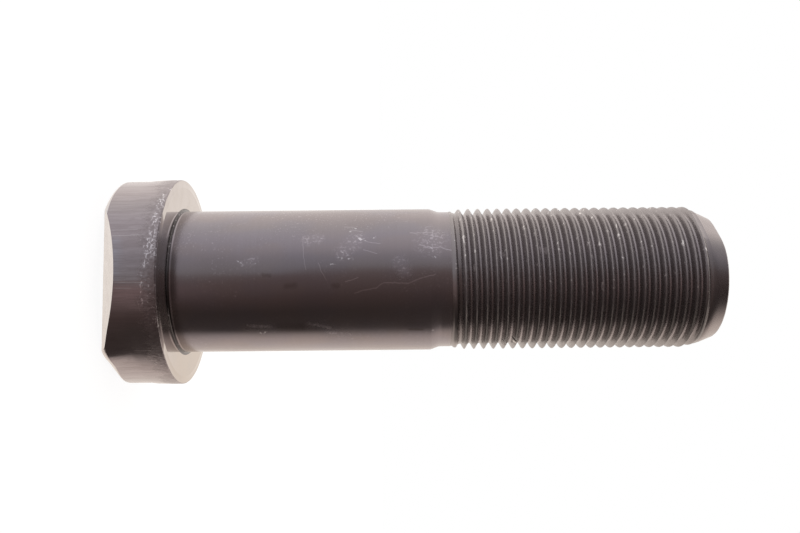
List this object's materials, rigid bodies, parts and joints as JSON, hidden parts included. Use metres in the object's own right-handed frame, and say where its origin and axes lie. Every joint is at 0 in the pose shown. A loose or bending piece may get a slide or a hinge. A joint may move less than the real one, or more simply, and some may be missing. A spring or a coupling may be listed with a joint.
{
  "type": "wheel stud",
  "caption": "Straight wheel stud with a round head, one sloping flat on the head's end, a plain shank and a fine thread up to a chamfered tip.",
  "frame": {"origin": "centre of the flat end of the head, on the stud's axis", "axes": "+Z along the stud's axis, from the head to the threaded tip; the head's sloping flat faces -Y"},
  "size_m": [0.0314, 0.0314, 0.0891],
  "materials": {
    "phosphated_steel": "dark oiled phosphate over turned and rolled steel, bright where the head bears and where the crests are rubbed"
  },
  "bodies": {
    "root": {"wheel_stud": "phosphated_steel"}
  },
  "joints": []
}
